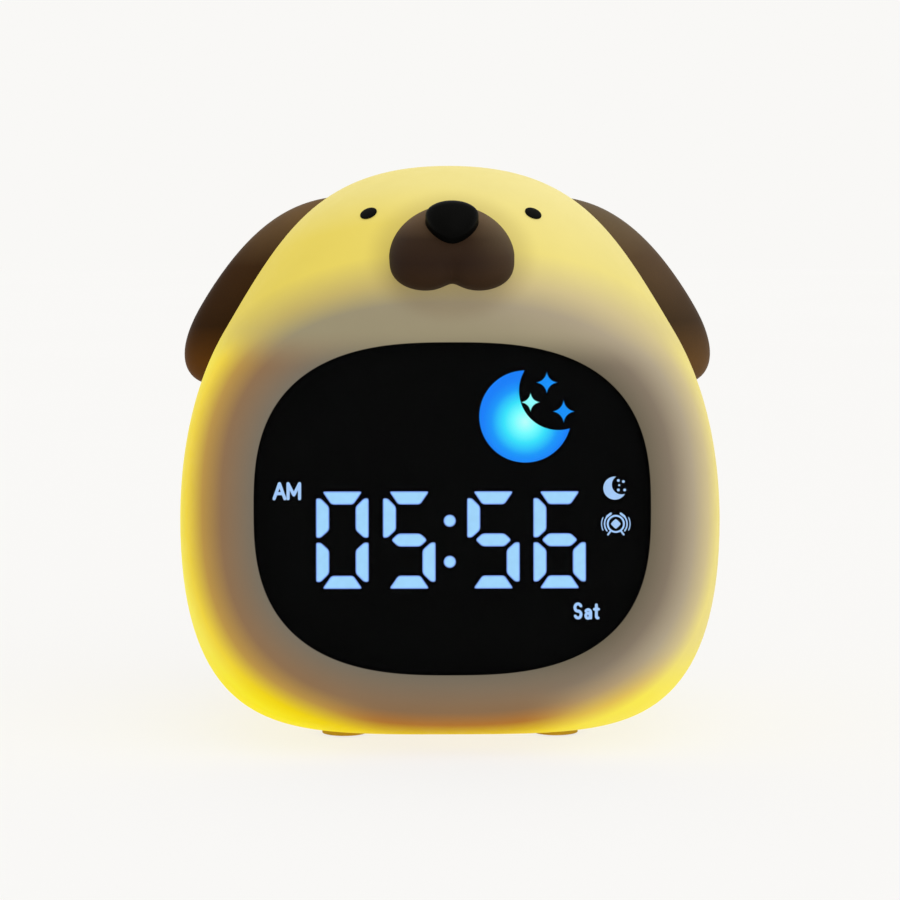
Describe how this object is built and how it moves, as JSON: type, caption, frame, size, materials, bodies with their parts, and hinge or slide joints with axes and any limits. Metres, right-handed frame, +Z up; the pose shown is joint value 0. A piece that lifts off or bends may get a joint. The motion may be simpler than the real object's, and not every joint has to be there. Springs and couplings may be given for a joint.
{
  "type": "kids alarm clock with night light",
  "caption": "Children's alarm clock and night light with a milky dog-head housing, a smoked display window, soft ears and muzzle, and rear push buttons.",
  "frame": {"origin": "centre of the overall box in plan, at the table under the rubber feet", "axes": "+X to the viewer's right when the display faces the viewer, -Y towards the viewer out of the display, +Z up"},
  "size_m": [0.1088, 0.0884, 0.1125],
  "materials": {
    "milky_housing": "translucent satin",
    "smoked_window": "smoked gloss",
    "black_film": "matt print",
    "white_plastic": "fine moulded",
    "light_guide": "frosted",
    "circuit_board": "solder mask",
    "white_board": "white solder mask",
    "led": "phosphor",
    "black_plastic": "moulded",
    "steel": "plated",
    "chip": "moulded",
    "cone_film": "film",
    "cell_wrap": "foil wrap",
    "red_wire": "insulation",
    "black_wire": "insulation",
    "ribbon": "flat cable",
    "foot_rubber": "matt",
    "ear_rubber": "matt soft",
    "muzzle_rubber": "matt soft",
    "nose_gloss": "satin",
    "button_rubber": "matt"
  },
  "bodies": {
    "housing": {"front_shell": "milky_housing", "rear_shell": "milky_housing", "display_lens": "smoked_window", "lens_adhesive": "black_film", "display_mask": "black_film", "reflector_block": "white_plastic", "digit_guides": "light_guide", "picture_guides": "light_guide", "display_board": "circuit_board", "display_leds": "led", "board_header": "black_plastic", "board_spacers": "white_plastic", "night_light_board": "white_board", "night_light_leds": "led", "display_screws": "steel", "rear_panel": "white_plastic", "panel_screws": "steel", "main_board": "circuit_board", "board_screws": "steel", "main_chips": "chip", "wire_headers": "white_plastic", "tap_sensor": "steel", "tact_switches": "steel", "power_switch_body": "steel", "usb_shell": "steel", "usb_tongue": "black_plastic", "speaker_frame": "black_plastic", "speaker_magnet": "steel", "speaker_cone": "cone_film", "speaker_clamp": "steel", "speaker_screws": "steel", "battery_cell": "cell_wrap", "battery_tray": "white_plastic", "tray_screws": "steel", "battery_leads": "red_wire", "speaker_leads": "black_wire", "display_ribbon": "ribbon", "case_screws": "steel", "rubber_feet": "foot_rubber", "ear_left": "ear_rubber", "ear_right": "ear_rubber", "ear_lock_washers": "steel", "muzzle": "muzzle_rubber", "nose": "nose_gloss", "eye_left": "nose_gloss", "eye_right": "nose_gloss"},
    "mode_key": {"mode_button": "button_rubber", "mode_plunger": "black_plastic"},
    "up_key": {"up_button": "button_rubber", "up_plunger": "black_plastic"},
    "down_key": {"down_button": "button_rubber", "down_plunger": "black_plastic"},
    "light_key": {"light_button": "button_rubber", "light_plunger": "black_plastic"},
    "sound_key": {"sound_button": "button_rubber", "sound_plunger": "black_plastic"},
    "power_slider": {"power_switch_knob": "black_plastic"}
  },
  "joints": [
    {"name": "mode_press", "type": "slide", "parent": "housing", "child": "mode_key", "axis": [0, -1, 0], "range_m": [0, 0.0007], "stiffness_N_per_m": 900, "springref_m": -0.0003},
    {"name": "up_press", "type": "slide", "parent": "housing", "child": "up_key", "axis": [0, -1, 0], "range_m": [0, 0.0007], "stiffness_N_per_m": 900, "springref_m": -0.0003},
    {"name": "down_press", "type": "slide", "parent": "housing", "child": "down_key", "axis": [0, -1, 0], "range_m": [0, 0.0007], "stiffness_N_per_m": 900, "springref_m": -0.0003},
    {"name": "light_press", "type": "slide", "parent": "housing", "child": "light_key", "axis": [0, -1, 0], "range_m": [0, 0.0007], "stiffness_N_per_m": 900, "springref_m": -0.0003},
    {"name": "sound_press", "type": "slide", "parent": "housing", "child": "sound_key", "axis": [0, -1, 0], "range_m": [0, 0.0007], "stiffness_N_per_m": 900, "springref_m": -0.0003},
    {"name": "power_slide", "type": "slide", "parent": "housing", "child": "power_slider", "axis": [1, 0, 0], "range_m": [0, 0.002]}
  ]
}
